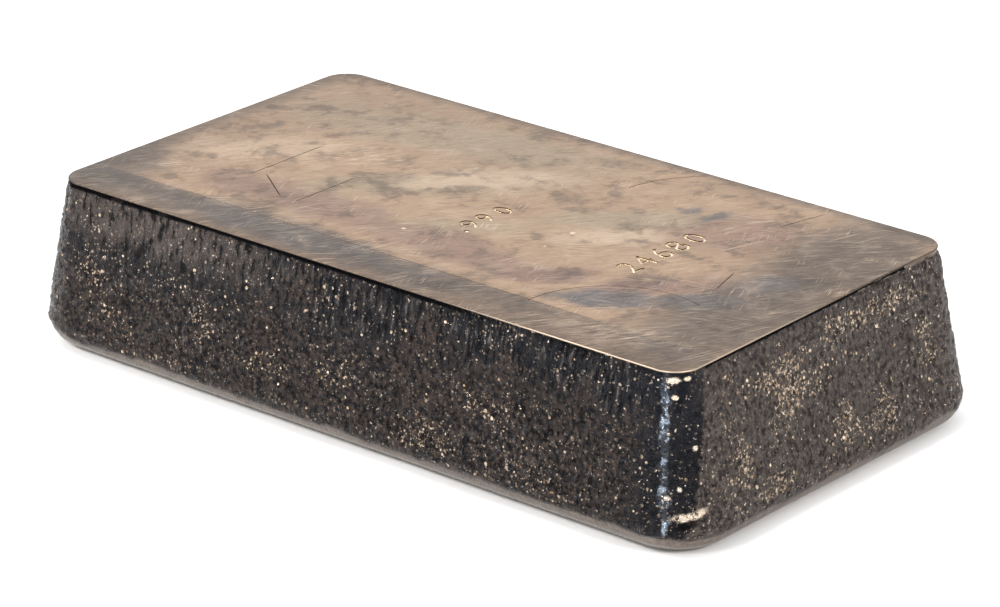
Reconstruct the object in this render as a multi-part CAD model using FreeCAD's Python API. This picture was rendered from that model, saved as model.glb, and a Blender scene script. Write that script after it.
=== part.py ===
"""Cast silver ingot: one tapered block with a flat stamped face up and its wide, rounded poured face down.

Frame: millimetres, +Z up, +X along the length, origin at the middle of the base.
"""
import FreeCAD
import Part

import math
import os

# The flat top face, which is the smaller one.
TOP_LENGTH = 156.0
TOP_WIDTH = 85.0
TOP_CORNER_RADIUS = 5.7
TOP_EDGE_RADIUS = 0.4

# The height and the draft of the walls, measured from upright.
HEIGHT = 35.2
END_DRAFT_DEG = 12.6
SIDE_DRAFT_DEG = 8.1

# The wide base, whose edge is rounded all the way round.
BASE_CORNER_RADIUS = 13.5
BASE_EDGE_RADIUS = 6.0

# The four corners in order round the block, as the signs of their X and Y.
CORNERS = [(1, 1), (-1, 1), (-1, -1), (1, -1)]

# Edges closer than this to a level count as lying at that level.
LEVEL_SLACK = 1e-6


def spread(draft_deg):
    """How far a wall with this draft leans out between the top face and the base."""
    return HEIGHT * math.tan(math.radians(draft_deg))


def corner_arcs(length, width, radius, level):
    """The start, middle and end of each rounded corner of a rectangle, anticlockwise, at this level."""
    half_x = length / 2
    half_y = width / 2
    in_x = half_x - radius
    in_y = half_y - radius
    diagonal = radius * math.sqrt(0.5)
    arcs = []
    for side_x, side_y in CORNERS:
        on_x = FreeCAD.Vector(side_x * half_x, side_y * in_y, level)
        on_y = FreeCAD.Vector(side_x * in_x, side_y * half_y, level)
        middle = FreeCAD.Vector(side_x * (in_x + diagonal), side_y * (in_y + diagonal), level)
        start, end = (on_x, on_y) if side_x * side_y > 0 else (on_y, on_x)
        arcs.append((start, middle, end))
    return arcs


def outline_face(arcs):
    """A flat face whose outline is these corner arcs, joined by straight lines."""
    edges = []
    for number, (start, middle, end) in enumerate(arcs):
        next_start = arcs[(number + 1) % len(arcs)][0]
        edges.append(Part.Arc(start, middle, end).toShape())
        edges.append(Part.LineSegment(end, next_start).toShape())
    return Part.Face(Part.Wire(edges))


def tapered_block(base_arcs, top_arcs):
    """The solid between two outlines: flat walls, and corners that are ruled from arc to arc."""
    faces = [outline_face(base_arcs), outline_face(top_arcs)]
    for number, (base_arc, top_arc) in enumerate(zip(base_arcs, top_arcs)):
        after = (number + 1) % len(base_arcs)
        corner = Part.makeRuledSurface(Part.Arc(*base_arc).toShape(), Part.Arc(*top_arc).toShape())
        wall = [base_arc[2], base_arcs[after][0], top_arcs[after][0], top_arc[2], base_arc[2]]
        faces += [corner, Part.Face(Part.makePolygon(wall))]
    shell = Part.makeShell(faces)
    shell.sewShape()
    # Merging the faces also turns all of them the same way out, which the fillets need.
    return Part.makeSolid(shell).removeSplitter()


def edges_at(shape, level):
    """The edges of the shape that lie wholly at this level."""
    return [
        edge
        for edge in shape.Edges
        if abs(edge.BoundBox.ZMin - level) < LEVEL_SLACK and abs(edge.BoundBox.ZMax - level) < LEVEL_SLACK
    ]


def ingot():
    """The casting: a tapered block with round corners, a soft base edge and a crisp top edge."""
    base_length = TOP_LENGTH + 2 * spread(END_DRAFT_DEG)
    base_width = TOP_WIDTH + 2 * spread(SIDE_DRAFT_DEG)
    base_arcs = corner_arcs(base_length, base_width, BASE_CORNER_RADIUS, 0.0)
    top_arcs = corner_arcs(TOP_LENGTH, TOP_WIDTH, TOP_CORNER_RADIUS, HEIGHT)
    block = tapered_block(base_arcs, top_arcs)
    block = block.makeFillet(BASE_EDGE_RADIUS, edges_at(block, 0.0))
    block = block.makeFillet(TOP_EDGE_RADIUS, edges_at(block, HEIGHT))
    return block.Solids[0]


def main():
    os.makedirs("parts", exist_ok=True)
    casting = ingot()
    casting.exportStep("parts/ingot.step")
    print(f"ingot: valid {casting.isValid()}, {casting.ShapeType}, volume {casting.Volume:.0f} mm3")


main()
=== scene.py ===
"""Looks of a cast silver ingot: the rough toned casting with its struck figures, on a plain studio floor."""

import math

import bpy
from bpy.props import FloatProperty, FloatVectorProperty, IntProperty, PointerProperty, StringProperty
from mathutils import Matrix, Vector


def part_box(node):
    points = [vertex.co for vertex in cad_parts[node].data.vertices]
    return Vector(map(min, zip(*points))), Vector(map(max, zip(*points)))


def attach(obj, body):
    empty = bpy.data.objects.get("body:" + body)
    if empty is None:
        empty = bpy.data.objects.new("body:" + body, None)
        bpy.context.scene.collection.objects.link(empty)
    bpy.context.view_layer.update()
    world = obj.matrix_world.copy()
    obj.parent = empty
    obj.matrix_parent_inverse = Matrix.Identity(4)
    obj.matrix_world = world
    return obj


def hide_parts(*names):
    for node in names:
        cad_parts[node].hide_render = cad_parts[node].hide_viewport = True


bl_info = {
    "name": "Cast silver ingot",
    "version": (1, 0, 0),
    "blender": (4, 5, 0),
    "location": "3D View > Sidebar > Ingot",
    "description": "Models a cast silver ingot with struck figures and its studio",
    "category": "Object",
}

MM = 0.001

# Points closer than this are one point.
WELD = 0.001 * MM

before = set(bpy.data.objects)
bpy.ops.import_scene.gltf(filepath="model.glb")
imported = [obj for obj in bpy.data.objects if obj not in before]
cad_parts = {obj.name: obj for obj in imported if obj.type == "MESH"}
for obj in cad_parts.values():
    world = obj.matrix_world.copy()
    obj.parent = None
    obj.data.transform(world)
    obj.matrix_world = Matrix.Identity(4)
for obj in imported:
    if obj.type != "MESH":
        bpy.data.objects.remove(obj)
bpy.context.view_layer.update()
CASTING_LOW, CASTING_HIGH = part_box("ingot")


# ---------------------------------------------------------------- sizes and colours

class IngotShape(bpy.types.PropertyGroup):
    """Sizes of the casting."""

    overall_length: FloatProperty(
        name="Overall length", description="Length over the bulge of the base edge",
        default=CASTING_HIGH.x - CASTING_LOW.x, unit="LENGTH")
    overall_width: FloatProperty(
        name="Overall width", description="Width over the bulge of the base edge",
        default=CASTING_HIGH.y - CASTING_LOW.y, unit="LENGTH")
    height: FloatProperty(
        name="Height", description="Height of the stamped face above the base",
        default=CASTING_HIGH.z - CASTING_LOW.z, unit="LENGTH")
    end_draft: FloatProperty(
        name="End draft", description="Lean of the two short walls from upright",
        default=math.radians(12.6), subtype="ANGLE")
    side_draft: FloatProperty(
        name="Side draft", description="Lean of the two long walls from upright",
        default=math.radians(8.1), subtype="ANGLE")
    top_corner: FloatProperty(
        name="Top corner", description="Corner radius of the stamped face", default=5.7 * MM, unit="LENGTH")
    base_corner: FloatProperty(
        name="Base corner", description="Corner radius of the base outline", default=13.5 * MM, unit="LENGTH")
    base_edge: FloatProperty(
        name="Base edge", description="Rounding of the edge round the base", default=6.0 * MM, unit="LENGTH")
    top_edge: FloatProperty(
        name="Top edge", description="Small break of the edge round the stamped face",
        default=0.3 * MM, unit="LENGTH")
    cell: FloatProperty(
        name="Surface cell", description="Size of the mesh cells that carry the grain of the walls",
        default=0.42 * MM, unit="LENGTH")
    skew: FloatProperty(
        name="Skew", description="How far the +X end of the stamped face is out of square at each corner",
        default=0.8 * MM, unit="LENGTH")
    grain: FloatProperty(
        name="Grain", description="Height of the sandy grain of the walls", default=0.5 * MM, unit="LENGTH")
    wave: FloatProperty(
        name="Wave", description="Height of the long waves of the walls", default=0.9 * MM, unit="LENGTH")
    swell: FloatProperty(
        name="Swell", description="Height of the swells between the waves and the grain",
        default=0.45 * MM, unit="LENGTH")
    lip: FloatProperty(
        name="Lip", description="How far the walls are sunk right under the stamped face",
        default=0.55 * MM, unit="LENGTH")


class IngotMarks(bpy.types.PropertyGroup):
    """The figures struck in the face."""

    number: StringProperty(name="Number", description="Plain figures struck near the +X end", default="24680")
    number_height: FloatProperty(
        name="Number height", description="Height of the struck number", default=5.3 * MM, unit="LENGTH")
    fineness: StringProperty(name="Fineness", description="Plain figures struck in the middle", default="990")
    fineness_height: FloatProperty(
        name="Fineness height", description="Height of the fineness figures", default=4.5 * MM, unit="LENGTH")
    depth: FloatProperty(
        name="Depth", description="Depth of the struck figures", default=0.28 * MM, unit="LENGTH")
    thinning: FloatProperty(
        name="Thinning", description="How much each side of a punch's stroke is thinned",
        default=0.03 * MM, unit="LENGTH")
    scribe_depth: FloatProperty(
        name="Scribe depth", description="Depth of the scribed lines", default=0.14 * MM, unit="LENGTH")
    arc_steps: IntProperty(
        name="Arc steps", description="Steps in a scribed arc", default=40)


class IngotColours(bpy.types.PropertyGroup):
    """Colours of the toned silver, and of the light and shade painted on it."""

    tan: FloatVectorProperty(
        name="Tan", description="Warm middle of the stamped face", subtype="COLOR",
        default=(0.40, 0.268, 0.174))
    pale: FloatVectorProperty(
        name="Pale", description="Rubbed pale patches of the stamped face", subtype="COLOR",
        default=(0.56, 0.42, 0.305))
    olive: FloatVectorProperty(
        name="Olive", description="Olive grey tone of the stamped face", subtype="COLOR",
        default=(0.32, 0.265, 0.185))
    slate: FloatVectorProperty(
        name="Slate", description="Grey margins of the stamped face", subtype="COLOR",
        default=(0.082, 0.067, 0.060))
    mauve: FloatVectorProperty(
        name="Mauve", description="Pink toning of the stamped face", subtype="COLOR",
        default=(0.215, 0.128, 0.108))
    blue: FloatVectorProperty(
        name="Blue", description="Blue grey toning of the stamped face", subtype="COLOR",
        default=(0.105, 0.103, 0.112))
    hairline: FloatVectorProperty(
        name="Hairline", description="Fresh metal in the scratches", subtype="COLOR",
        default=(0.78, 0.62, 0.47))
    # Bare metal in the struck figures, painted brighter as a highlight.
    struck: FloatVectorProperty(
        name="Struck", description="Bright metal in the struck figures", subtype="COLOR",
        default=(1.0, 0.86, 0.66))
    # Painted shade, with dark tarnish, down the sides of the marks and in the scribed lines.
    struck_shade: FloatVectorProperty(
        name="Struck shade", description="Dark tarnish down the sides of the marks", subtype="COLOR",
        default=(0.05, 0.036, 0.028))
    wall_dark: FloatVectorProperty(
        name="Wall dark", description="Blackest tarnish of the walls", subtype="COLOR",
        default=(0.011, 0.013, 0.017))
    wall_brown: FloatVectorProperty(
        name="Wall brown", description="Brown tarnish of the walls", subtype="COLOR",
        default=(0.070, 0.050, 0.040))
    end_dark: FloatVectorProperty(
        name="End dark", description="Darker tone of the dull end walls", subtype="COLOR",
        default=(0.038, 0.032, 0.029))
    end_brown: FloatVectorProperty(
        name="End brown", description="Grey brown tone of the dull end walls", subtype="COLOR",
        default=(0.122, 0.099, 0.088))
    gilt: FloatVectorProperty(
        name="Gilt", description="Golden tint of some bare grains", subtype="COLOR",
        default=(0.60, 0.42, 0.26))
    # Bare metal, and also the painted glints on the tips of the grain and the painted highlights on the lap
    # ridge and the corner blobs.
    glint: FloatVectorProperty(
        name="Glint", description="Bare metal on the high grains", subtype="COLOR",
        default=(0.90, 0.74, 0.58))
    # A painted highlight: the bluish streak down the near corner.
    painted_corner_highlight: FloatVectorProperty(
        name="Cold glint", description="Bluish bare metal down the near corner", subtype="COLOR",
        default=(0.44, 0.51, 0.61))
    # Painted shade in the gaps of the grain, with tarnish there, and painted shadow under the lip and in the
    # crease under the lap.
    gap: FloatVectorProperty(
        name="Gap", description="Black of the gaps in the grain and under the lip", subtype="COLOR",
        default=(0.004, 0.004, 0.005))
    # A painted highlight on the crowns of the grain of the walls.
    crown_highlight: FloatVectorProperty(
        name="Wall light", description="Crowns of the grain of the walls", subtype="COLOR",
        default=(0.28, 0.24, 0.22))
    # A painted reflection of the floor, lighter where the base edge rolls under.
    base_floor_reflection: FloatVectorProperty(
        name="Base rub", description="Lighter metal where the base edge rolls under", subtype="COLOR",
        default=(0.52, 0.46, 0.41))
    base_band: FloatVectorProperty(
        name="Base band", description="Smoother grey brown of the rounded base edge", subtype="COLOR",
        default=(0.26, 0.215, 0.185))


# ---------------------------------------------------------------- modelling helpers

def pick_object(obj):
    """Leaves only this object selected and active, in object mode."""
    if bpy.context.mode != "OBJECT":
        bpy.ops.object.mode_set(mode="OBJECT")
    bpy.ops.object.select_all(action="DESELECT")
    obj.select_set(True)
    bpy.context.view_layer.objects.active = obj


def select_where(obj, kind, test):
    """In edit mode, selects only the vertices, edges or faces for which test is true."""
    bpy.ops.mesh.select_mode(type=kind)
    bpy.ops.mesh.select_all(action="DESELECT")
    bpy.ops.object.mode_set(mode="OBJECT")
    mesh = obj.data
    items = {"VERT": mesh.vertices, "EDGE": mesh.edges, "FACE": mesh.polygons}[kind]
    for item in items:
        item.select = test(item)
    bpy.ops.object.mode_set(mode="EDIT")


def edge_ends(mesh, edge):
    """The two end points of an edge."""
    return [mesh.vertices[index].co for index in edge.vertices]


def apply_modifier(obj, kind, **settings):
    """Adds a modifier to the object and applies it."""
    pick_object(obj)
    modifier = obj.modifiers.new(kind.title(), kind)
    for name, value in settings.items():
        setattr(modifier, name, value)
    bpy.ops.object.modifier_apply(modifier=modifier.name)


def close_seams():
    """Merges the active mesh's doubled points and turns all its faces outwards."""
    bpy.ops.object.mode_set(mode="EDIT")
    bpy.ops.mesh.select_all(action="SELECT")
    bpy.ops.mesh.remove_doubles(threshold=WELD)
    bpy.ops.mesh.normals_make_consistent(inside=False)
    bpy.ops.object.mode_set(mode="OBJECT")


def cut_with(obj, cutter):
    """Cuts the cutter out of the object and takes the cutter away."""
    apply_modifier(obj, "BOOLEAN", operation="DIFFERENCE", solver="EXACT", object=cutter)
    pick_object(cutter)
    bpy.ops.object.delete()


# ---------------------------------------------------------------- the casting

class Outline:
    """Half sizes of the casting at the bulge of its base edge and at its stamped face."""

    def __init__(self, shape):
        self.height = shape.height
        self.base_x, self.top_x = self.halves(shape, shape.overall_length, shape.end_draft)
        self.base_y, self.top_y = self.halves(shape, shape.overall_width, shape.side_draft)

    def halves(self, shape, overall, draft):
        """The half size at the bulge, and at the stamped face where the wall ends."""
        tangent = shape.base_edge / math.tan((math.pi / 2 - draft) / 2)
        sharp = overall / 2 + tangent - shape.base_edge
        return overall / 2, sharp - shape.height * math.tan(draft)


CORNER_STEPS = 26
BASE_EDGE_STEPS = 12
DISH_STEPS = 6
DISH_SCALE = 0.86
DISH_DEPTH = 1.4 * MM


def rounded_loop(half_x, half_y, radius, level, long_cuts, short_cuts, skew=0.0):
    """A loop of edges: a rectangle with rounded corners, evenly divided along its straight runs."""
    bpy.ops.object.select_all(action="DESELECT")
    bpy.ops.mesh.primitive_plane_add(size=2)
    loop = bpy.context.object
    bpy.ops.object.mode_set(mode="EDIT")
    bpy.ops.transform.resize(value=(half_x, half_y, 1))
    bpy.ops.transform.translate(value=(0, 0, level))
    for side, shift in ((-1, skew), (1, -skew)):
        select_where(loop, "VERT", lambda v, s=side: v.co.x > 0 and v.co.y * s > 0)
        bpy.ops.transform.translate(value=(shift, 0, 0))
    bpy.ops.mesh.select_all(action="SELECT")
    bpy.ops.mesh.bevel(offset=radius, segments=CORNER_STEPS, affect="VERTICES")
    bpy.ops.mesh.delete(type="ONLY_FACE")
    for axis, cuts in ((0, long_cuts), (1, short_cuts)):
        def is_run(edge, axis=axis):
            first, second = edge_ends(loop.data, edge)
            return abs(first[axis] - second[axis]) > half_y
        select_where(loop, "EDGE", is_run)
        bpy.ops.mesh.subdivide(number_cuts=cuts)
    bpy.ops.object.mode_set(mode="OBJECT")
    return loop


def cap_loop(block, low, high):
    """Closes the open loop between these levels with one face."""

    def in_loop(edge):
        return all(low < point.z < high for point in edge_ends(block.data, edge))

    select_where(block, "EDGE", in_loop)
    bpy.ops.mesh.edge_face_add()


def round_rim(turn_through, radius, steps):
    """Insets the selected cap step by step, so that its rim turns in as an arc of this radius."""
    for step in range(steps):
        before, after = (turn_through * count / steps for count in (step, step + 1))
        start = math.pi / 2 - turn_through
        inward = radius * (math.cos(start + before) - math.cos(start + after))
        outward = radius * (math.sin(start + after) - math.sin(start + before))
        bpy.ops.mesh.inset(thickness=inward, depth=outward)


def cast_block(shape, outline):
    """The closed block: two loops bridged and capped, with the base and top rims rounded by insets."""
    runs = [int(2 * half / shape.cell) - 1 for half in (outline.top_x, outline.top_y)]
    bulge = shape.base_edge
    shrink = (shape.base_corner - shape.top_corner) * bulge / shape.height
    top = rounded_loop(
        outline.top_x, outline.top_y, shape.top_corner, outline.height - shape.top_edge, *runs, shape.skew)
    base = rounded_loop(outline.base_x, outline.base_y, shape.base_corner - shrink, bulge, *runs)
    top.select_set(True)
    base.select_set(True)
    bpy.context.view_layer.objects.active = base
    bpy.ops.object.join()
    block = bpy.context.object
    block.name = "ingot_casting"
    block.data.name = "ingot_casting"
    bpy.ops.object.mode_set(mode="EDIT")
    bpy.ops.mesh.select_all(action="SELECT")
    bpy.ops.mesh.bridge_edge_loops()

    def is_rise(edge):
        first, second = edge_ends(block.data, edge)
        return abs(first.z - second.z) > bulge

    select_where(block, "EDGE", is_rise)
    bpy.ops.mesh.subdivide(number_cuts=int((outline.height - bulge) / shape.cell))

    cap_loop(block, outline.height - 0.4 * MM, outline.height)
    round_rim(math.pi / 2, shape.top_edge, 3)
    cap_loop(block, bulge - 0.1 * MM, bulge + 0.1 * MM)
    round_rim(math.pi / 2, bulge, BASE_EDGE_STEPS)

    # The poured face shrinks as it cools, which leaves a shallow dish inside its rounded edge.
    for step in range(DISH_STEPS):
        bpy.ops.mesh.extrude_region_move()
        bpy.ops.transform.resize(value=(DISH_SCALE, DISH_SCALE, 1))
        bpy.ops.transform.translate(value=(0, 0, DISH_DEPTH * (DISH_STEPS - step) / DISH_STEPS ** 2))
    bpy.ops.mesh.select_all(action="SELECT")
    bpy.ops.mesh.normals_make_consistent(inside=False)
    bpy.ops.object.mode_set(mode="OBJECT")
    return block


# ---------------------------------------------------------------- struck and scribed marks

# Each struck figure's place along the row and its turn, as a hand punch leaves them.
NUMBER_PLACES = [(-7.4, -4.0), (-2.5, 3.0), (2.5, -2.0), (7.6, 4.0), (12.7, -3.0)]
FINENESS_PLACES = [(-9.4, -3.0), (-4.7, 2.0), (0.4, -2.0)]
NUMBER_BASELINE = 41.4
FINENESS_BASELINE = 3.4

# Scribed straight lines on the face, as start and end in millimetres.
SCRIBED_LINES = [
    ((-76.0, -31.2), (64.5, -31.6)),
    ((47.3, 27.0), (50.5, 40.3)),
    ((-50.0, -17.8), (-50.0, 7.4)),
    ((-32.8, -23.0), (-32.6, -3.2)),
    ((-48.0, -14.0), (-36.5, -22.0)),
    ((58.2, -5.8), (55.4, 3.8)),
]

# Scribed arcs, as three points that each passes through, in millimetres.
SCRIBED_ARCS = [
    ((34.9, -32.1), (43.5, -15.6), (60.9, -13.8)),
    ((12.0, 26.0), (14.7, 34.7), (19.9, 41.2)),
]


# The share of the type size that a figure's height takes up.
CAP_HEIGHT = 0.70

# The dot before the fineness figures.
DOT_PLACE = (3.2, -12.6)
DOT_RADIUS = 0.55 * MM

# How narrow a scribed line is at its two ends.
TAPER = 0.12


def strike(block, shape, marks, text, height, baseline, places):
    """Strikes a row of figures that reads along +Y, one punch at a time."""
    for figure, (along, turn) in zip(text, places):
        bpy.ops.object.select_all(action="DESELECT")
        bpy.ops.object.text_add()
        punch = bpy.context.object
        punch.data.body = figure
        punch.data.size = height / CAP_HEIGHT
        punch.data.align_x = "CENTER"
        punch.data.extrude = marks.depth
        punch.data.offset = -marks.thinning
        punch.data.resolution_u = 5
        bpy.ops.object.convert(target="MESH")
        punch = bpy.context.object
        close_seams()
        punch.rotation_euler = (0, 0, math.radians(90 + turn))
        punch.location = (baseline * MM, along * MM, shape.height)
        bpy.ops.object.transform_apply(location=True, rotation=True, scale=True)
        cut_with(block, punch)


def strike_dot(block, shape, x, y):
    """Strikes one round dot."""
    bpy.ops.object.select_all(action="DESELECT")
    bpy.ops.mesh.primitive_uv_sphere_add(segments=16, ring_count=8, radius=DOT_RADIUS)
    dot = bpy.context.object
    bpy.ops.object.mode_set(mode="EDIT")
    bpy.ops.transform.resize(value=(1, 1, 0.8))
    bpy.ops.transform.translate(value=(x * MM, y * MM, shape.height))
    bpy.ops.object.mode_set(mode="OBJECT")
    cut_with(block, dot)


def scribe_line(block, shape, marks, start, end):
    """Scribes a straight V-shaped line."""
    start, end = Vector(start) * MM, Vector(end) * MM
    run = end - start
    bpy.ops.object.select_all(action="DESELECT")
    bpy.ops.mesh.primitive_cube_add(size=1)
    scriber = bpy.context.object
    side = marks.scribe_depth * math.sqrt(2)
    bpy.ops.object.mode_set(mode="EDIT")
    bpy.ops.transform.resize(value=(run.length, side, side))
    bpy.ops.transform.rotate(value=math.pi / 4, orient_axis="X", center_override=(0, 0, 0))

    def is_long(edge):
        first, second = edge_ends(scriber.data, edge)
        return (first - second).length > run.length / 2

    select_where(scriber, "EDGE", is_long)
    bpy.ops.mesh.subdivide(number_cuts=5)
    select_where(scriber, "VERT", lambda vertex: abs(vertex.co.x) > run.length * 0.45)
    bpy.ops.transform.resize(value=(1, TAPER, TAPER))
    bpy.ops.object.mode_set(mode="OBJECT")
    scriber.rotation_euler = (0, 0, math.atan2(run.y, run.x))
    middle = (start + end) / 2
    scriber.location = (middle.x, middle.y, shape.height)
    bpy.ops.object.transform_apply(location=True, rotation=True, scale=True)
    cut_with(block, scriber)


def circle_through(first, second, third):
    """The centre and radius of the circle through three points, in the plane."""
    chord_a, chord_b = second - first, third - first
    cross = 2 * (chord_a.x * chord_b.y - chord_a.y * chord_b.x)
    a2, b2 = chord_a.length_squared, chord_b.length_squared
    offset = Vector((chord_b.y * a2 - chord_a.y * b2, chord_a.x * b2 - chord_b.x * a2)) / cross
    return first + offset, offset.length


def scribe_arc(block, shape, marks, points):
    """Scribes a V-shaped line along the arc through three points."""
    first, second, third = [Vector(point) * MM for point in points]
    centre, radius = circle_through(first, second, third)
    begin = first - centre
    sweep = begin.angle_signed(third - centre)
    bpy.ops.object.select_all(action="DESELECT")
    bpy.ops.mesh.primitive_circle_add(vertices=4, radius=marks.scribe_depth, fill_type="NGON")
    scriber = bpy.context.object
    bpy.ops.object.mode_set(mode="EDIT")
    bpy.ops.transform.rotate(value=math.pi / 2, orient_axis="X", center_override=(0, 0, 0))
    bpy.ops.transform.translate(value=(radius, 0, 0))
    bpy.ops.transform.rotate(value=-math.atan2(begin.y, begin.x), orient_axis="Z", center_override=(0, 0, 0))
    bpy.ops.transform.translate(value=(centre.x, centre.y, shape.height))
    bpy.ops.mesh.spin(
        steps=marks.arc_steps, angle=sweep, center=(centre.x, centre.y, shape.height), axis=(0, 0, 1))
    bpy.ops.mesh.select_all(action="SELECT")
    bpy.ops.mesh.normals_make_consistent(inside=False)
    bpy.ops.object.mode_set(mode="OBJECT")
    cut_with(block, scriber)


def mark_face(block, shape, marks):
    """All the marks in the stamped face."""
    strike(block, shape, marks, marks.number, marks.number_height, NUMBER_BASELINE, NUMBER_PLACES)
    strike(block, shape, marks, marks.fineness, marks.fineness_height, FINENESS_BASELINE, FINENESS_PLACES)
    strike_dot(block, shape, *DOT_PLACE)
    for start, end in SCRIBED_LINES:
        scribe_line(block, shape, marks, start, end)
    for points in SCRIBED_ARCS:
        scribe_arc(block, shape, marks, points)


# ---------------------------------------------------------------- the rough skin

def band(value, low, low_full, high_full, high):
    """1 between low_full and high_full, and fading to 0 at low and at high."""
    if value <= low or value >= high:
        return 0.0
    if value < low_full:
        return (value - low) / (low_full - low)
    if value > high_full:
        return (high - value) / (high - high_full)
    return 1.0


def weigh(block, name, low, low_full, high_full, high):
    """A vertex group of the points between these levels, with full weight between the inner two."""
    group = block.vertex_groups.new(name=name)
    for vertex in block.data.vertices:
        amount = band(vertex.co.z, low, low_full, high_full, high)
        if amount > 0.0:
            group.add([vertex.index], amount, "REPLACE")
    return name


def cloud(name, size, depth=2, contrast=1.0):
    """A soft cloudy noise of this grain size."""
    texture = bpy.data.textures.new(name, "CLOUDS")
    texture.noise_scale = size
    texture.noise_depth = depth
    texture.contrast = contrast
    return texture


def roughen(block, shape):
    """Raises the long waves and the sandy grain of the walls, and leaves the stamped face flat."""
    top = shape.height
    walls = weigh(block, "walls", 0.3 * MM, 6 * MM, top - 3 * MM, top - 0.5 * MM)
    grainy = weigh(block, "grainy", 1.0 * MM, 5 * MM, top - 1.2 * MM, top - 0.5 * MM)
    lip = weigh(block, "under_lip", top - 2.2 * MM, top - 1.2 * MM, top - 0.8 * MM, top - 0.45 * MM)
    steps = [
        ("wave", cloud("casting_wave", 28 * MM, 1), shape.wave, walls),
        ("swell", cloud("casting_swell", 7 * MM, 1), shape.swell, walls),
        ("lip", cloud("lip_shadow", 14 * MM, 1, 2.0), -shape.lip, lip),
        ("grain", cloud("sandy_grain", 1.3 * MM, 2, 1.6), shape.grain, grainy),
    ]
    for name, texture, strength, group in steps:
        apply_modifier(
            block, "DISPLACE", texture=texture, texture_coords="LOCAL", strength=strength,
            mid_level=0.0 if name == "lip" else 0.5, vertex_group=group)


# A lap of metal low on the +X -Y corner: each point's turn round it in degrees, and height in millimetres.
# The ridge stands out by LAP_OUT. The crease lies LAP_DROP under it and is sunk by LAP_IN.
LAP_OUT, LAP_OUT_REACH = 0.32 * MM, 1.5 * MM
LAP_IN, LAP_IN_REACH = 0.38 * MM, 1.7 * MM
LAP_DROP = 1.5 * MM
LAP_RIDGE = [(-62, 5.6), (-57, 6.2), (-52, 6.9), (-47, 7.6), (-42, 8.2), (-37, 8.5), (-32, 8.3)]


def corner_point(shape, outline, turn, level):
    """The point of the +X -Y corner at this turn and level."""
    rise = (level - shape.base_edge) / (shape.height - shape.base_edge)
    radius = shape.base_corner + (shape.top_corner - shape.base_corner) * rise
    centre_x = outline.base_x + (outline.top_x - outline.base_x) * rise - radius
    centre_y = -(outline.base_y + (outline.top_y - outline.base_y) * rise - radius)
    angle = math.radians(turn)
    return Vector((centre_x + radius * math.cos(angle), centre_y + radius * math.sin(angle), level))


def push(block, place, shift, reach):
    """Moves the nearest vertices by shift, and takes those within reach softly along."""
    nearest = min(block.data.vertices, key=lambda vertex: (vertex.co - place).length_squared).index
    bpy.ops.object.mode_set(mode="EDIT")
    select_where(block, "VERT", lambda vertex: vertex.index == nearest)
    bpy.ops.transform.translate(
        value=shift, use_proportional_edit=True, proportional_edit_falloff="SMOOTH", proportional_size=reach)
    bpy.ops.object.mode_set(mode="OBJECT")


def lap_corner(block, shape, outline):
    """Raises the cold lap on the near corner, with the crease under it."""
    pick_object(block)
    for turn, level in LAP_RIDGE:
        place = corner_point(shape, outline, turn, level * MM)
        out = Vector((math.cos(math.radians(turn)), math.sin(math.radians(turn)), 0))
        push(block, place, out * LAP_OUT, LAP_OUT_REACH)
        push(block, place - Vector((0, 0, LAP_DROP)), -out * LAP_IN, LAP_IN_REACH)


# ---------------------------------------------------------------- finishes

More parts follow.
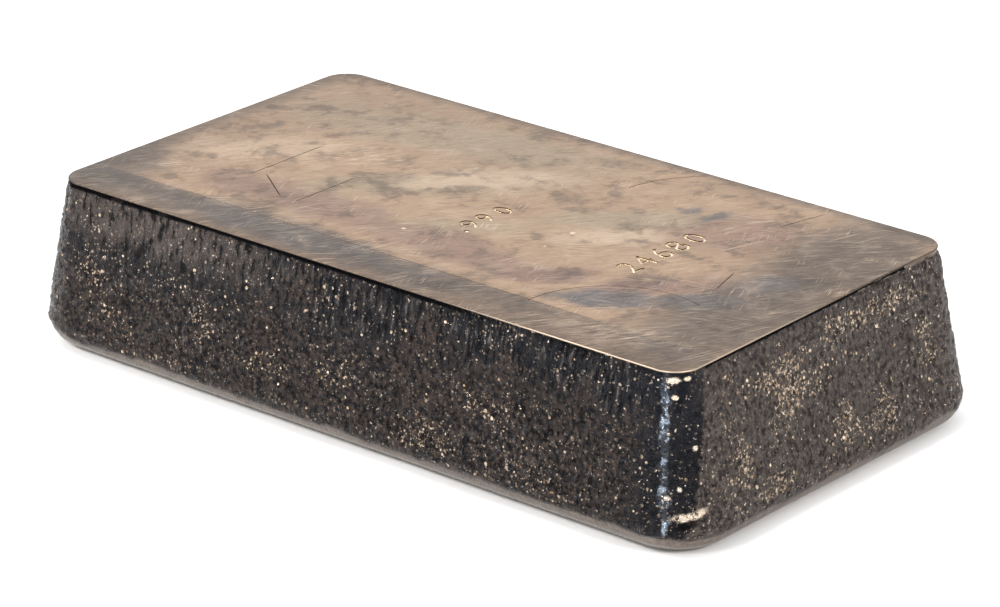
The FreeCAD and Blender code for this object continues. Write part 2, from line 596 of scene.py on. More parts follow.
class Graph:
    """Adds nodes to a material or world and joins them."""

    def __init__(self, tree):
        self.tree = tree

    def node(self, kind, inputs=None, **settings):
        """A new node with these settings. An input takes a number or another node's output."""
        made = self.tree.nodes.new("ShaderNode" + kind)
        for name, value in settings.items():
            setattr(made, name, value)
        for name, value in (inputs or {}).items():
            self.feed(made.inputs[name], value)
        return made

    def feed(self, socket, value):
        """Sets a socket to a value, or joins another node's output to it."""
        if isinstance(value, bpy.types.NodeSocket):
            self.tree.links.new(value, socket)
        else:
            socket.default_value = value

    def maths(self, operation, first, second=0.0):
        """One sum on two numbers."""
        return self.node("Math", {0: first, 1: second}, operation=operation).outputs[0]

    def times(self, first, second):
        """The product of two numbers."""
        return self.maths("MULTIPLY", first, second)

    def most(self, first, second):
        """The larger of two numbers."""
        return self.maths("MAXIMUM", first, second)

    def fade(self, value, low, high, start=0.0, end=1.0):
        """Goes smoothly from start to end as the value goes from low to high."""
        inputs = {"Value": value, "From Min": low, "From Max": high, "To Min": start, "To Max": end}
        return self.node("MapRange", inputs, interpolation_type="SMOOTHSTEP").outputs["Result"]

    def mix(self, factor, first, second):
        """Mixes two colours."""
        made = self.node("Mix", data_type="RGBA")
        for index, value in ((0, factor), (6, first), (7, second)):
            self.feed(made.inputs[index], value)
        return made.outputs[2]

    def placed(self, source, scale=(1, 1, 1), turn=0.0, shift=(0, 0, 0)):
        """The coordinates shifted, turned about Z and scaled."""
        inputs = {"Vector": source, "Location": shift, "Rotation": (0, 0, turn)}
        turned = self.node("Mapping", inputs, vector_type="POINT").outputs[0]
        return self.node("Mapping", {"Vector": turned, "Scale": scale}, vector_type="POINT").outputs[0]

    def noise(self, source, size, detail=3.0, roughness=0.5, distortion=0.0):
        """Noise whose blobs are about this many millimetres across."""
        inputs = {
            "Vector": source, "Scale": 1 / size, "Detail": detail,
            "Roughness": roughness, "Distortion": distortion}
        return self.node("TexNoise", inputs).outputs["Fac"]

    def strokes(self, source, direction, long, thin):
        """Coordinates that draw a noise out along this direction in the plane of the face."""
        return self.placed(source, (1 / long, 1 / thin, 1), -math.radians(direction))

    def drift(self, source, size, reach):
        """The coordinates pulled about by a slow noise, so that edges wander."""
        slow = self.node("TexNoise", {"Vector": source, "Scale": 1 / size, "Detail": 4.0, "Roughness": 0.6})
        pull = self.node("VectorMath", {0: slow.outputs["Color"], 1: (0.5, 0.5, 0.5)}, operation="SUBTRACT")
        pull = self.node("VectorMath", {0: pull.outputs[0], "Scale": reach}, operation="SCALE")
        return self.node("VectorMath", {0: source, 1: pull.outputs[0]}, operation="ADD").outputs[0]

    def within(self, value, limit):
        """1 where the value is between minus and plus the limit."""
        return self.maths("LESS_THAN", self.maths("ABSOLUTE", value), limit)

    def specks(self, source, spacing, radius, share):
        """Small round specks of uneven size, one in a cell of this spacing, in this share of the cells."""
        cells = self.node("TexVoronoi", {"Vector": source, "Scale": 1 / spacing})
        chance = self.node("SeparateColor", {"Color": cells.outputs["Color"]}).outputs
        size = self.fade(chance["Green"], 0.0, 1.0, radius * 0.5, radius * 1.4)
        near = self.maths("LESS_THAN", cells.outputs["Distance"], size)
        return self.times(near, self.maths("LESS_THAN", chance["Red"], share))

    def patch(self, source, place, radii, turn=0.0):
        """A soft oval patch: 1 in the middle, 0 outside."""
        centred = self.node("Mapping", {"Vector": source, "Location": (-place[0], -place[1], 0)}).outputs[0]
        scale = (1 / radii[0], 1 / radii[1], 0)
        oval = self.placed(centred, scale, -math.radians(turn))
        length = self.node("VectorMath", {0: oval}, operation="LENGTH").outputs["Value"]
        return self.fade(length, 0.35, 1.0, 1.0, 0.0)


def colour(value):
    """A colour with alpha, as a node socket takes it."""
    return (*value, 1.0)


def new_material(name):
    """An empty node material with its Principled shader, and coordinates in millimetres."""
    material = bpy.data.materials.new(name)
    material.use_nodes = True
    graph = Graph(material.node_tree)
    material.node_tree.nodes.clear()
    shader = graph.node("BsdfPrincipled")
    output = graph.node("OutputMaterial", {"Surface": shader.outputs[0]})
    output.is_active_output = True
    place = graph.node("TexCoord").outputs["Object"]
    place = graph.node("Mapping", {"Vector": place, "Scale": (1000, 1000, 1000)}).outputs[0]
    return material, graph, shader, place


# Patches of toning on the stamped face: colour, middle and radii in millimetres, turn in degrees, strength.
FACE_PATCHES = [
    ("olive", (-32, 26), (52, 13), 10, 0.55),
    ("olive", (-22, -1), (30, 9), 35, 0.60),
    ("olive", (24, 13), (26, 7), 40, 0.65),
    ("olive", (0, -12), (20, 7), 30, 0.45),
    ("pale", (-11, 12), (23, 9), 38, 0.85),
    ("pale", (27, 4), (19, 6), 40, 0.90),
    ("pale", (-58, -4), (24, 9), 45, 0.55),
    ("pale", (-20, 1), (8, 4), 45, 0.60),
    ("mauve", (-34, -21), (36, 9), 0, 0.70),
    ("mauve", (8, -21), (28, 9), 5, 0.60),
    ("mauve", (30, -19), (14, 5), 45, 0.85),
    ("mauve", (46, -14), (12, 6), 50, 0.90),
    ("mauve", (44, 20), (18, 14), 30, 0.60),
    ("mauve", (56, -6), (14, 8), 40, 0.50),
    ("slate", (68, 22), (20, 34), 0, 0.85),
    ("slate", (70, -14), (20, 34), 0, 0.85),
    ("slate", (-76, -30), (16, 24), 20, 0.80),
    ("slate", (-20, -35), (70, 8), 0, 0.70),
    ("blue", (-14, -36), (44, 7), 0, 0.75),
    ("blue", (45, -22), (15, 6), 30, 0.95),
    ("blue", (60, -13), (12, 6), 45, 0.80),
    ("blue", (29, 24), (4, 2.4), 40, 0.75),
    ("blue", (36, 26), (5, 3), 40, 0.80),
    ("blue", (64, 3), (10, 7), 45, 0.55),
]

# Rubbing by a cloth: direction in degrees, length and width in millimetres, how much it lightens and darkens.
RUBBING = [
    (48, 5.5, 0.7, 0.25, 0.35),
    (66, 8, 0.42, 0.25, 0.30),
    (50, 2.4, 0.30, 0.30, 0.35),
    (58, 3.5, 0.16, 0.35, 0.35),
]

# Hairline scratches: direction in degrees, length and width in millimetres, rarity.
HAIRLINES = [
    (44, 17, 0.13, 0.665),
    (58, 11, 0.12, 0.660),
    (74, 20, 0.13, 0.675),
    (20, 9, 0.12, 0.680),
    (112, 6, 0.12, 0.690),
]


def face_toning(graph, place, axes, outline, colours):
    """The toning of the stamped face: drifting patches, and greyer margins."""
    drifted = graph.drift(place, 11, 13.0)
    tone = colour(colours.tan)
    for name, middle, radii, turn, strength in FACE_PATCHES:
        mask = graph.times(graph.patch(drifted, middle, radii, turn), strength)
        tone = graph.mix(mask, tone, colour(getattr(colours, name)))

    # The front margin is grey up to its scribed line.
    front = graph.fade(axes["Y"], -32.0, -30.9, 0.70, 0.0)
    back = graph.fade(axes["Y"], outline.top_y / MM - 4.0, outline.top_y / MM - 0.5, 0.0, 0.6)
    left = graph.fade(axes["X"], -outline.top_x / MM + 1.0, -outline.top_x / MM + 7.0, 0.6, 0.0)
    for margin in (front, back, left):
        tone = graph.mix(margin, tone, colour(colours.slate))
    return tone


def face_rubbing(graph, place, blotch, colours, tone):
    """Blotches, then rubbing drawn out along the stroke of a cloth, in light and in dark."""
    pale, slate = colour(colours.pale), colour(colours.slate)
    tone = graph.mix(graph.fade(blotch, 0.54, 0.72, 0.0, 0.25), tone, pale)
    tone = graph.mix(graph.fade(blotch, 0.50, 0.34, 0.0, 0.55), tone, slate)
    for turn, long, thin, light, shade in RUBBING:
        rubbed = graph.noise(graph.strokes(place, turn, long, thin), 1.0, 4.0, 0.6)
        tone = graph.mix(graph.fade(rubbed, 0.54, 0.74, 0.0, light), tone, pale)
        tone = graph.mix(graph.fade(rubbed, 0.46, 0.26, 0.0, shade), tone, slate)
    return tone


def face_scratches(graph, place):
    """Where the face is scratched to bare metal: hairlines, two chafed spots and a few dots."""
    scratches = graph.specks(place, 9.0, 0.045, 0.30)
    for turn, long, thin, rarity in HAIRLINES:
        lined = graph.strokes(graph.placed(place, shift=(turn * 3.0, 0, 0)), turn, long, thin)
        where = graph.noise(graph.placed(place, shift=(turn * 7.0, 0, 0)), 12, 2)
        lines = graph.fade(graph.noise(lined, 1.0, 0.5), rarity, rarity + 0.07)
        scratches = graph.most(scratches, graph.times(lines, graph.fade(where, 0.48, 0.66)))
    spots = graph.most(graph.patch(place, (58, -34), (16, 7), 20), graph.patch(place, (-40, 6), (12, 10)))
    chafe = graph.noise(graph.strokes(place, 55, 4.5, 0.16), 1.0, 2.0)
    return graph.most(scratches, graph.times(graph.fade(chafe, 0.56, 0.66), spots))


def mark_toning(graph, place, axes, shape, marks, outline, colours, tone):
    """Bare metal in the struck figures painted brighter as a highlight, their sides and the scribed lines in
    painted shade with dark tarnish, and the worn rim of the face.
    """
    top = shape.height / MM
    floor = top - marks.depth / MM
    inside = graph.times(
        graph.within(axes["X"], outline.top_x / MM - 1.5),
        graph.within(axes["Y"], outline.top_y / MM - 1.5))
    # Just under the face, the sides of the marks and the scribed lines: painted shade, with dark tarnish.
    line = graph.fade(axes["Z"], top - 0.05, top - 0.005, 0.97, 0.0)
    # The floors of the figures: bare metal, painted brighter as a highlight.
    sunk = graph.fade(axes["Z"], floor + 0.02, floor + 0.09, 1.0, 0.0)
    tone = graph.mix(graph.times(line, inside), tone, colour(colours.struck_shade))
    tone = graph.mix(graph.times(sunk, inside), tone, colour(colours.struck))

    outside = graph.maths("SUBTRACT", 1.0, inside)
    edge = graph.times(outside, graph.fade(axes["Z"], top - 0.08, top - 0.005, 1.0, 0.0))
    tone = graph.mix(graph.times(edge, 0.6), tone, colour([channel * 0.6 for channel in colours.slate]))
    worn = graph.times(graph.fade(axes["Z"], top - 0.10, top - 0.01, 0.6, 0.0), edge)
    worn = graph.times(worn, graph.patch(place, (outline.top_x / MM, -outline.top_y / MM), (60, 60)))
    return graph.mix(worn, tone, colour(colours.hairline))


def face_finish(shape, marks, outline, colours):
    """Toned, rubbed and scratched silver of the stamped face."""
    material, graph, shader, place = new_material("toned_face")
    axes = graph.node("SeparateXYZ", {"Vector": place}).outputs
    blotch = graph.noise(graph.drift(place, 5, 5.0), 6.5, 6, 0.62)
    scratches = face_scratches(graph, place)
    tone = face_toning(graph, place, axes, outline, colours)
    tone = face_rubbing(graph, place, blotch, colours, tone)
    tone = graph.mix(graph.times(scratches, 0.80), tone, colour(colours.hairline))
    tone = mark_toning(graph, place, axes, shape, marks, outline, colours, tone)
    graph.feed(shader.inputs["Base Color"], tone)
    shader.inputs["Metallic"].default_value = 1.0
    graph.feed(shader.inputs["Roughness"], graph.fade(blotch, 0.3, 0.75, 0.46, 0.34))

    dents = graph.maths("ADD", graph.noise(place, 10, 2), graph.times(graph.noise(place, 0.6, 3), 0.035))
    dents = graph.maths("SUBTRACT", dents, graph.times(scratches, 0.03))
    bump = graph.node("Bump", {"Height": dents, "Strength": 0.4, "Distance": 0.0004})
    graph.feed(shader.inputs["Normal"], bump.outputs[0])
    return material


# Crusts of bare metal on a long side: middle by length and height and radii in millimetres, turn in degrees.
SIDE_CRUSTS = [
    ((-66, 20), (8, 7), 0), ((-57, 9), (9, 3), -50), ((-63, 12), (6, 5), 0), ((-37, 17), (6, 9), 20),
    ((-46, 6), (10, 3), 0), ((-20, 12), (12, 4), 0), ((-2, 15), (10, 5), 0), ((22, 9), (14, 5), 0),
    ((50, 7), (10, 4), 0), ((36, 18), (12, 5), 0),
]

# The same on an end: middle by width and height.
END_CRUSTS = [
    ((-14, 27), (16, 4), 10), ((-12, 22), (9, 7), 20), ((-20, 8), (10, 4), 0), ((15, 11), (6, 7), 0),
    ((3, 12), (6, 6), 0), ((14, 30), (26, 3), 0), ((31, 20), (3, 8), 0), ((-28, 14), (6, 8), 0),
]

# Painted highlights in bright blobs on the near corner: middle across it and up it, and radii, in millimetres.
CORNER_HIGHLIGHT_BLOBS = [
    ((32.2, 33.5), (1.5, 0.7)), ((34.6, 33.6), (1.0, 0.6)), ((32.6, 30.4), (0.8, 0.6)),
    ((31.2, 12.0), (0.8, 0.7)), ((33.4, 13.6), (0.7, 0.6)), ((36.2, 21.0), (0.6, 0.6)),
]

# The level direction across the near corner, and how far along it the painted highlight streak lies, in
# millimetres.
ACROSS_CORNER = (0.763, 0.647, 0)
STREAK_PLACE = 30.7


class Walls:
    """Where a point of the walls lies, as node outputs that the tones of the walls share."""

    def __init__(self, graph, place, outline):
        top_x, top_y = outline.top_x / MM, outline.top_y / MM
        self.place = place
        self.axes = graph.node("SeparateXYZ", {"Vector": place}).outputs
        self.along_side = graph.node("CombineXYZ", {"X": self.axes["X"], "Y": self.axes["Z"]}).outputs[0]
        self.along_end = graph.node("CombineXYZ", {"X": self.axes["Y"], "Y": self.axes["Z"]}).outputs[0]
        self.big = graph.noise(place, 14, 4, 0.6)
        self.fine = graph.noise(place, 1.0, 5, 0.72)

        # The ends reach as far as a crooked line by the corner.
        lean = graph.maths("SUBTRACT", self.axes["Y"], graph.times(self.axes["Z"], 0.258))
        lean = graph.maths("ADD", lean, graph.times(self.fine, 1.4))
        end = graph.fade(graph.maths("ABSOLUTE", self.axes["X"]), top_x - 2.5, top_x - 0.5)
        self.end = graph.times(end, graph.fade(lean, -44.0, -43.0))
        self.side = graph.maths("SUBTRACT", 1.0, self.end)
        self.corner = graph.times(graph.patch(place, (top_x + 1.5, -top_y - 1.5), (14, 14)), self.side)
        self.grain = self.rough_grain(graph)

    def rough_grain(self, graph):
        """The grain of the casting, which runs into furrows high on the long sides."""
        upright = graph.node("Mapping", {
            "Vector": self.place, "Rotation": (0, math.radians(-12), 0), "Scale": (1, 1, 0.8)})
        lumps = graph.noise(graph.drift(upright.outputs[0], 3, 1.6), 0.95, 4, 0.62)
        furrowed = graph.node("Mapping", {
            "Vector": self.along_side, "Rotation": (0, 0, math.radians(-16)), "Scale": (1, 0.30, 1)})
        furrows = graph.noise(furrowed.outputs[0], 1.15, 3, 0.6)
        level = graph.maths("ADD", self.axes["Z"], graph.times(self.big, 14.0))
        high = graph.times(graph.fade(level, 26.0, 36.0), self.side)
        return graph.node("Mix", {"Factor": high, "A": lumps, "B": furrows}, data_type="FLOAT").outputs[0]


def wall_toning(graph, at, colours):
    """Tarnish of the walls: the long sides are black and glossy, and the ends dull and brown, with painted
    highlight and shade on the grain.
    """
    dark, light, gap = colour(colours.wall_dark), colour(colours.crown_highlight), colour(colours.gap)
    tone = graph.mix(graph.fade(at.fine, 0.36, 0.64), dark, colour(colours.wall_brown))
    black = graph.times(graph.fade(at.axes["Z"], 14.0, 30.0, 0.2, 1.0), graph.fade(at.big, 0.36, 0.58))
    tone = graph.mix(graph.times(black, 0.85), tone, dark)
    dull = graph.mix(graph.fade(at.fine, 0.30, 0.66), colour(colours.end_dark), colour(colours.end_brown))
    tone = graph.mix(at.end, tone, dull)
    grey = graph.times(graph.patch(graph.drift(at.along_side, 6, 8.0), (-50, 31), (44, 8)), at.side)
    tone = graph.mix(graph.times(grey, 0.50), tone, colour(colours.end_brown))

    # The crowns of the grain are painted lighter as a highlight, and the gaps between them are painted black
    # as shade, with tarnish there.
    crowns = graph.fade(at.big, 0.35, 0.65, 0.10, 0.42)
    crowns = graph.times(crowns, graph.fade(at.corner, 0.0, 1.0, 1.0, 0.6))
    tone = graph.mix(graph.times(graph.fade(at.grain, 0.54, 0.70), crowns), tone, light)
    gaps = graph.fade(at.end, 0.0, 1.0, 0.92, 0.68)
    tone = graph.mix(graph.times(graph.fade(at.grain, 0.485, 0.40), gaps), tone, gap)
    return graph.mix(graph.times(at.corner, 0.7), tone, dark)


def bare_metal(graph, at):
    """Where bare metal shows: a thin scatter everywhere and thick crusts in some places."""
    loose = graph.fade(graph.noise(at.place, 7, 3, 0.6), 0.45, 0.68, 0.15, 0.7)
    crust = graph.times(loose, graph.fade(at.end, 0.0, 1.0, 0.7, 1.0))
    thin = graph.times(at.side, 0.72)
    drifted_side = graph.drift(at.along_side, 3, 9.0)
    drifted_end = graph.drift(at.along_end, 3, 8.0)
    for source, crusts, share in ((drifted_side, SIDE_CRUSTS, thin), (drifted_end, END_CRUSTS, at.end)):
        for middle, radii, turn in crusts:
            crust = graph.most(crust, graph.times(graph.patch(source, middle, radii, turn), share))

    threshold = graph.fade(crust, 0.1, 1.0, 0.70, 0.53)
    flakes = graph.maths("SUBTRACT", graph.noise(at.place, 0.75, 4, 0.7), threshold)
    bare = graph.fade(flakes, 0.0, 0.05, 0.0, 0.75)
    thick, edge = graph.fade(crust, 0.0, 1.0, 0.15, 0.8), graph.fade(crust, 0.1, 0.5)
    bare = graph.most(bare, graph.times(graph.specks(at.place, 0.8, 0.24, 0.45), thick))
    bare = graph.most(bare, graph.times(graph.specks(at.place, 1.6, 0.17, 0.40), edge))
    bare = graph.most(bare, graph.specks(at.place, 3.3, 0.085, 0.35))
    return graph.most(bare, graph.specks(at.place, 2.1, 0.10, 0.30))


def glint_toning(graph, at, bare, colours, tone):
    """Bare metal, some of it golden, and painted glints on the tips of the grain."""
    glint = colour(colours.glint)
    hue = graph.mix(graph.fade(graph.noise(at.place, 0.9, 2), 0.40, 0.60), glint, colour(colours.gilt))
    tone = graph.mix(graph.times(bare, 0.9), tone, hue)
    # Painted glints on the tips of the grain.
    tips = graph.fade(graph.noise(graph.placed(at.place, shift=(9, 0, 0)), 0.62, 2, 0.5), 0.655, 0.70)
    tips = graph.times(tips, graph.fade(at.grain, 0.46, 0.56))
    tips = graph.times(tips, graph.fade(at.big, 0.36, 0.56, 0.25, 0.85))
    return graph.mix(tips, tone, glint)


def corner_highlights_and_shade(graph, at, colours, tone):
    """A painted highlight streak of cold bright metal down the near corner, painted highlight blobs, a painted
    highlight on the ridge of the lap, and painted shadow in the crease under it.
    """
    # A painted highlight: a bright bluish streak down the near corner, in the base colour.
    across = graph.node("VectorMath", {0: at.place, 1: ACROSS_CORNER}, operation="DOT_PRODUCT")
    across = graph.maths("ADD", across.outputs["Value"], graph.times(graph.noise(at.place, 3, 3), 1.2))
    width = graph.fade(graph.noise(graph.placed(at.place, shift=(0, 5, 0)), 2.6, 3), 0.35, 0.65, 0.55, 1.6)
    aside = graph.maths("ABSOLUTE", graph.maths("SUBTRACT", across, STREAK_PLACE))
    streak = graph.times(graph.fade(aside, 0.2, width, 1.0, 0.0), graph.fade(at.corner, 0.1, 0.4))
    broken = graph.fade(graph.noise(at.place, 2.2, 5, 0.75), 0.48, 0.62)
    streak = graph.times(streak, graph.fade(broken, 0.0, 1.0, 0.07, 0.75))
    tone = graph.mix(streak, tone, colour(colours.painted_corner_highlight))

    # A painted highlight on the ridge of the lap and in bright blobs on the corner.
    upfront = graph.node("CombineXYZ", {"X": across, "Y": at.axes["Z"]}).outputs[0]
    ridge = graph.patch(graph.drift(upfront, 2, 2.0), (35.4, 8.7), (4.8, 1.1), 12)
    ridge = graph.times(ridge, graph.fade(graph.noise(at.place, 0.7, 3, 0.65), 0.36, 0.56))
    for middle, radii in CORNER_HIGHLIGHT_BLOBS:
        ridge = graph.most(ridge, graph.patch(graph.drift(upfront, 1, 0.8), middle, radii))
    # Painted shadow in the crease under the lap.
    crease_shade = graph.patch(graph.drift(upfront, 3, 1.5), (34.4, 6.9), (3.6, 1.4), 12)
    near = graph.fade(at.axes["Y"], -36.0, -30.0, 1.0, 0.0)
    tone = graph.mix(graph.times(crease_shade, graph.times(near, 0.8)), tone, colour(colours.gap))
    return graph.mix(graph.times(ridge, graph.times(near, 0.9)), tone, colour(colours.glint))


def lip_shadow(graph, at):
    """Where the painted shadow lies: a black line right under the lip of the face."""
    lip = graph.fade(at.axes["Z"], 33.6, 34.3)
    lip = graph.times(lip, graph.fade(graph.noise(at.place, 9, 2), 0.28, 0.42, 0.4, 1.0))
    lip = graph.times(lip, graph.fade(at.axes["X"], 20.0, 50.0, 1.0, 0.2))
    return graph.most(lip, graph.times(graph.fade(at.axes["Z"], 34.0, 34.5), at.end))


def base_edge_tone(graph, at, colours):
    """Grey brown of the rounded base edge, with a painted reflection of the floor making it lighter where it
    rolls under.
    """
    shades = [colour([channel * share for channel in colours.base_band]) for share in (0.55, 1.0)]
    tone = graph.mix(graph.fade(at.fine, 0.35, 0.7), *shades)
    return graph.mix(graph.fade(at.axes["Z"], 0.6, 2.6, 0.8, 0.0), tone, colour(colours.base_floor_reflection))


def wall_finish(outline, colours):
    """Glossy dark tarnish of the walls with bare glints, duller ends, and the smoother base edge; painted
    highlights, painted shade and shadow, and a painted floor reflection on them.
    """
    material, graph, shader, place = new_material("rough_walls")
    at = Walls(graph, place, outline)
    bare = bare_metal(graph, at)
    lip = lip_shadow(graph, at)
    wobble = graph.times(graph.noise(place, 8, 4), 4.0)
    low = graph.fade(graph.maths("ADD", at.axes["Z"], wobble), 5.2, 6.4, 1.0, 0.0)
    tone = wall_toning(graph, at, colours)
    tone = glint_toning(graph, at, bare, colours, tone)
    tone = corner_highlights_and_shade(graph, at, colours, tone)
    # Painted shadow: the black line under the lip.
    tone = graph.mix(lip, tone, colour(colours.gap))
    tone = graph.mix(low, tone, base_edge_tone(graph, at, colours))
    graph.feed(shader.inputs["Base Color"], tone)
    shader.inputs["Metallic"].default_value = 1.0

    gloss = graph.fade(at.fine, 0.3, 0.7, 0.22, 0.36)
    rough = graph.times(gloss, graph.fade(at.corner, 0.0, 1.0, 1.0, 0.55))
    rough = graph.maths("ADD", rough, graph.times(at.end, 0.10))
    graph.feed(shader.inputs["Roughness"], graph.most(rough, graph.times(lip, 0.9)))
    relief = graph.maths("ADD", at.grain, graph.times(graph.noise(place, 0.42, 3, 0.6), 0.4))
    relief = graph.maths("ADD", relief, graph.times(bare, 0.30))
    relief = graph.times(relief, graph.fade(low, 0.0, 1.0, 1.0, 0.15))
    bump = graph.node("Bump", {"Height": relief, "Strength": 1.0, "Distance": 0.0009})
    graph.feed(shader.inputs["Normal"], bump.outputs[0])
    return material


# The stamped face's finish reaches this far down its edge, and keeps this far inside its corners in the marks.
FACE_FINISH_DEPTH = 0.29 * MM
FACE_FINISH_INSET = 0.5 * MM


def finish_casting(block, shape, marks, outline, colours):
    """Gives the stamped face and its marks their own finish and everything else the rough one."""
    block.data.materials.clear()
    block.data.materials.append(wall_finish(outline, colours))
    block.data.materials.append(face_finish(shape, marks, outline, colours))
    pick_object(block)
    bpy.ops.object.mode_set(mode="EDIT")
    lowest = shape.height - FACE_FINISH_DEPTH
    radius = shape.top_corner
    straight_x, straight_y = outline.top_x - radius, outline.top_y - radius

    def on_face(face):
        middle = face.center
        past = Vector((max(abs(middle.x) - straight_x, 0), max(abs(middle.y) - straight_y, 0)))
        in_a_mark = middle.z > shape.height - MM and past.length < radius - FACE_FINISH_INSET
        return middle.z > lowest or in_a_mark

    select_where(block, "FACE", on_face)
    block.active_material_index = 1
    bpy.ops.object.material_slot_assign()
    bpy.ops.object.mode_set(mode="OBJECT")
    bpy.ops.object.shade_smooth_by_angle(angle=math.radians(35))


# ---------------------------------------------------------------- the stage

# The camera looks along this direction from this far away.
CAMERA_AZIMUTH = 40.31
CAMERA_ELEVATION = 21.98
CAMERA_DISTANCE = 0.916
CAMERA_RISE = 14.4 * MM
CAMERA_SIDE = 0.7 * MM
CAMERA_LENS = 167.6

# How bright the surroundings are along the horizon and higher up.
HORIZON_GLOW = 0.20
SKY_GLOW = 0.62

# Soft boxes: azimuth and elevation, distance and size in metres, power and tint.
SOFT_BOXES = {
    "left_box": ((-48, 34), 1.0, (0.14, 0.14), 3.6, (1, 1, 1)),
    "front_box": ((4, 42), 1.0, (0.14, 0.14), 2.6, (1, 1, 1)),
    "right_box": ((84, 32), 1.0, (0.14, 0.14), 3.2, (1, 1, 1)),
    "corner_strip": ((16, 14), 0.9, (0.06, 0.7), 1.2, (0.85, 0.93, 1.0)),
}


def toward(azimuth, elevation):
    """The direction to this azimuth, counted from -Y, and elevation."""
    turn, rise = math.radians(azimuth), math.radians(elevation)
    return Vector((math.sin(turn) * math.cos(rise), -math.cos(turn) * math.cos(rise), math.sin(rise)))


def camera_axes():
    """The directions back from, right of and up from the view."""
    turn = math.radians(CAMERA_AZIMUTH)
    back = toward(CAMERA_AZIMUTH, CAMERA_ELEVATION)
    right = Vector((math.cos(turn), math.sin(turn), 0))
    return back, right, back.cross(right)


def add_camera():
    """The camera that shows the ingot from above its -Y +X corner."""
    back, right, up = camera_axes()
    bpy.ops.object.camera_add()
    camera = bpy.context.object
    camera.name = "view_camera"
    camera.data.lens = CAMERA_LENS
    camera.data.sensor_width = 36.0
    camera.data.clip_start = 0.01
    camera.location = back * CAMERA_DISTANCE + right * CAMERA_SIDE + up * CAMERA_RISE
    camera.rotation_mode = "QUATERNION"
    camera.rotation_quaternion = (-back).to_track_quat("-Z", "Y")
    bpy.context.scene.camera = camera


def add_floor():
    """A plain pale floor."""
    bpy.ops.object.select_all(action="DESELECT")
    bpy.ops.mesh.primitive_plane_add(size=6)
    floor = bpy.context.object
    floor.name = "floor"
    material = bpy.data.materials.new("floor_paint")
    material.use_nodes = True
    shader = material.node_tree.nodes["Principled BSDF"]
    shader.inputs["Base Color"].default_value = (0.93, 0.93, 0.93, 1)
    shader.inputs["Roughness"].default_value = 0.9
    shader.inputs["Specular IOR Level"].default_value = 0.1
    floor.data.materials.append(material)


def add_soft_box(name, direction, distance, size, energy, tint):
    """A soft box that points at the ingot from this azimuth and elevation."""
    away = toward(*direction)
    bpy.ops.object.light_add(type="AREA", location=away * distance)
    light = bpy.context.object
    light.name = name
    light.rotation_euler = away.to_track_quat("Z", "Y").to_euler()
    light.data.shape = "RECTANGLE"
    light.data.size, light.data.size_y = size
    light.data.energy = energy
    light.data.color = tint


def add_studio_world():
    """White surroundings, whose light on the ingot is dim along the horizon and brighter higher up."""
    world = bpy.data.worlds.new("studio")
    bpy.context.scene.world = world
    world.use_nodes = True
    world.node_tree.nodes.clear()
    graph = Graph(world.node_tree)
    direction = graph.node("TexCoord").outputs["Generated"]
    rise = graph.node("SeparateXYZ", {"Vector": direction}).outputs["Z"]
    glow = graph.fade(rise, 0.05, 0.32, HORIZON_GLOW, SKY_GLOW)
    seen = graph.node("LightPath").outputs["Is Camera Ray"]
    strength = graph.fade(seen, 0.0, 1.0, glow, 1.0)
    background = graph.node("Background", {"Color": (1, 1, 1, 1), "Strength": strength})
    graph.node("OutputWorld", {"Surface": background.outputs[0]})


def add_overhead():
    """A broad soft light from above, which keeps the floor white."""
    bpy.ops.object.light_add(type="SUN", location=(0, 0, 2))
    light = bpy.context.object
    light.name = "overhead"
    light.rotation_euler = (math.radians(-14), math.radians(-10), 0)
    light.data.energy = 2.0
    light.data.angle = math.radians(130)


def set_the_stage():
    """Camera, floor, surroundings and lights."""
    bpy.context.scene.view_settings.view_transform = "Standard"
    add_camera()
    add_floor()
    add_studio_world()
    add_overhead()
    for name, (direction, distance, size, energy, tint) in SOFT_BOXES.items():
        add_soft_box(name, direction, distance, size, energy, tint)


# ---------------------------------------------------------------- operators and panel

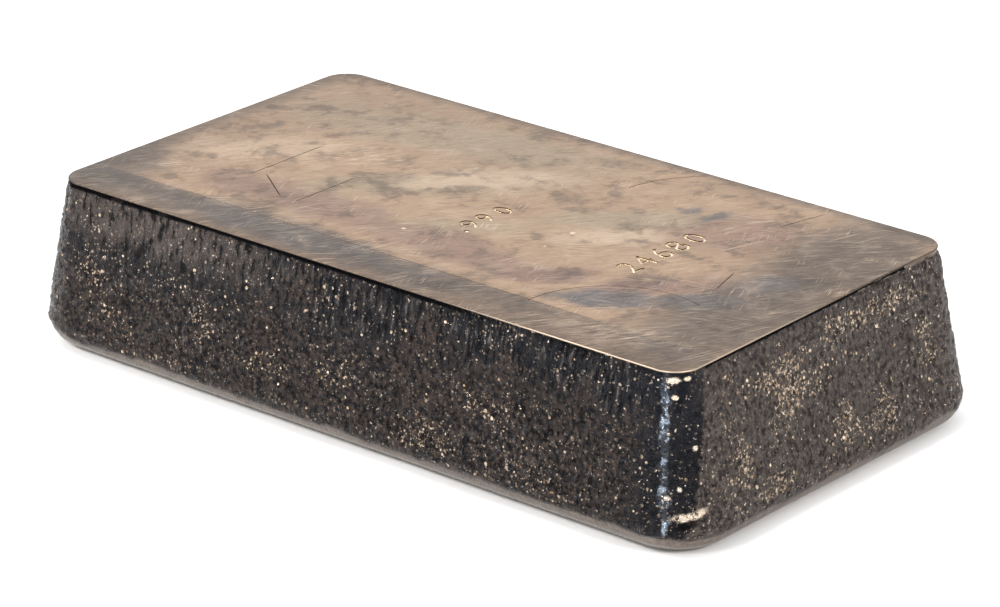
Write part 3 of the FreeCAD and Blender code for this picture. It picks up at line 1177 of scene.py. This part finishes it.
class INGOT_OT_casting(bpy.types.Operator):
    """Model the ingot with its marks, rough skin and finishes"""

    bl_idname = "ingot.casting"
    bl_label = "Add casting"

    def execute(self, context):
        scene = context.scene
        shape, marks, colours = scene.ingot_shape, scene.ingot_marks, scene.ingot_colours
        outline = Outline(shape)
        block = cast_block(shape, outline)
        mark_face(block, shape, marks)
        roughen(block, shape)
        lap_corner(block, shape, outline)
        finish_casting(block, shape, marks, outline, colours)
        if not block.data.polygons:
            raise RuntimeError("the casting came out empty")
        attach(block, "root")
        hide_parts("ingot")
        return {"FINISHED"}


class INGOT_OT_stage(bpy.types.Operator):
    """Add the floor, the lights, the surroundings and the camera"""

    bl_idname = "ingot.stage"
    bl_label = "Add stage"

    def execute(self, context):
        set_the_stage()
        return {"FINISHED"}


class INGOT_PT_panel(bpy.types.Panel):
    """The ingot's pieces, sizes and colours"""

    bl_idname = "INGOT_PT_panel"
    bl_label = "Cast ingot"
    bl_space_type = "VIEW_3D"
    bl_region_type = "UI"
    bl_category = "Ingot"

    def draw(self, context):
        layout = self.layout
        for operator in OPERATORS:
            layout.operator(operator.bl_idname)
        for group in (context.scene.ingot_shape, context.scene.ingot_marks, context.scene.ingot_colours):
            box = layout.box()
            for name in group.__annotations__:
                box.prop(group, name)


OPERATORS = (INGOT_OT_casting, INGOT_OT_stage)
GROUPS = {"ingot_shape": IngotShape, "ingot_marks": IngotMarks, "ingot_colours": IngotColours}


def register():
    """Registers the classes and puts the sizes and colours on the scene."""
    for cls in (*GROUPS.values(), *OPERATORS, INGOT_PT_panel):
        bpy.utils.register_class(cls)
    for name, group in GROUPS.items():
        setattr(bpy.types.Scene, name, PointerProperty(type=group))


def unregister():
    """Takes the classes and the scene's sizes and colours away."""
    for name in GROUPS:
        delattr(bpy.types.Scene, name)
    for cls in (INGOT_PT_panel, *reversed(OPERATORS), *reversed(GROUPS.values())):
        bpy.utils.unregister_class(cls)


def main():
    """Makes the ingot and its stage."""
    register()
    bpy.ops.ingot.casting()
    bpy.ops.ingot.stage()


if __name__ == "__main__":
    main()
